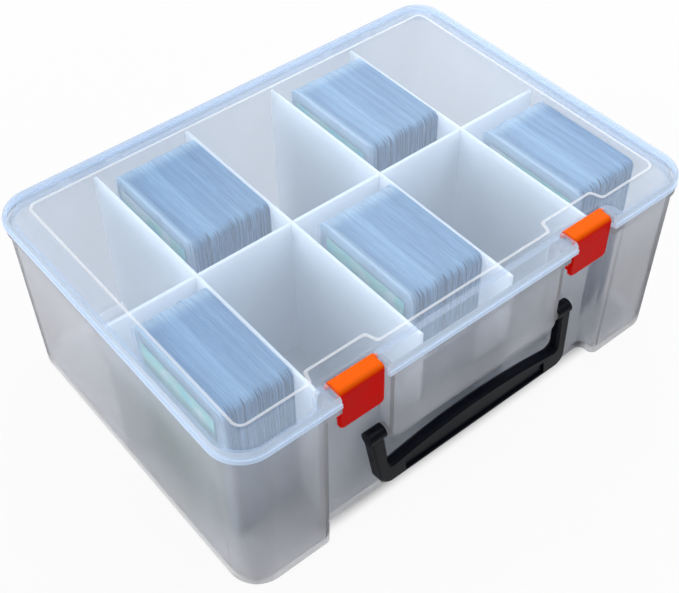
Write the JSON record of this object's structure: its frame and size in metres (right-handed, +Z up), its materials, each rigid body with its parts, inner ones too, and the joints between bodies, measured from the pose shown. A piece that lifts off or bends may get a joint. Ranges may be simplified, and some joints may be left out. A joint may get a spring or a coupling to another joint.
{
  "type": "divided storage box",
  "caption": "Translucent lidded card storage box with a divider grid, packs of rigid card sleeves, two orange snap latches and a black bail handle.",
  "frame": {"origin": "on the ground under the middle of the closed box's bounding box", "axes": "+Z up, +X along the front to the right, the latches and the handle on the -Y side"},
  "size_m": [0.3138, 0.2312, 0.1185],
  "materials": {
    "tub_plastic": "frosted translucent polypropylene",
    "lid_plastic": "lightly frosted translucent polypropylene",
    "latch_plastic": "satin moulded plastic",
    "handle_plastic": "satin black moulded plastic",
    "divider_plastic": "frosted translucent polypropylene",
    "sleeve_plastic": "clear rigid plastic with a blue tint",
    "card": "plain printed card"
  },
  "bodies": {
    "tub": {"tub": "tub_plastic", "long_divider": "divider_plastic", "cross_divider_1": "divider_plastic", "cross_divider_2": "divider_plastic", "cross_divider_3": "divider_plastic", "cross_divider_4": "divider_plastic", "sleeve_pack_1": "sleeve_plastic", "sleeve_pack_2": "sleeve_plastic", "sleeve_pack_3": "sleeve_plastic", "sleeve_pack_4": "sleeve_plastic", "sleeve_pack_5": "sleeve_plastic", "front_card_1": "card", "front_card_2": "card", "front_card_3": "card", "front_card_4": "card", "front_card_5": "card"},
    "lid": {"lid": "lid_plastic"},
    "latch_left": {"latch_left": "latch_plastic"},
    "latch_right": {"latch_right": "latch_plastic"},
    "handle": {"handle": "handle_plastic"}
  },
  "joints": [
    {"name": "lid_hinge", "type": "hinge", "parent": "tub", "child": "lid", "pos_m": [0, 0.1153, 0.1084], "axis": [-1, 0, 0], "range_deg": [0, 110]},
    {"name": "latch_left_hinge", "type": "hinge", "parent": "lid", "child": "latch_left", "pos_m": [-0.0792, -0.1015, 0.1157], "axis": [-1, 0, 0], "range_deg": [0, 100]},
    {"name": "latch_right_hinge", "type": "hinge", "parent": "lid", "child": "latch_right", "pos_m": [0.0792, -0.1015, 0.1157], "axis": [-1, 0, 0], "range_deg": [0, 100]},
    {"name": "handle_hinge", "type": "hinge", "parent": "tub", "child": "handle", "pos_m": [0, -0.1057, 0.0603], "axis": [-1, 0, 0], "range_deg": [0, 90]}
  ]
}
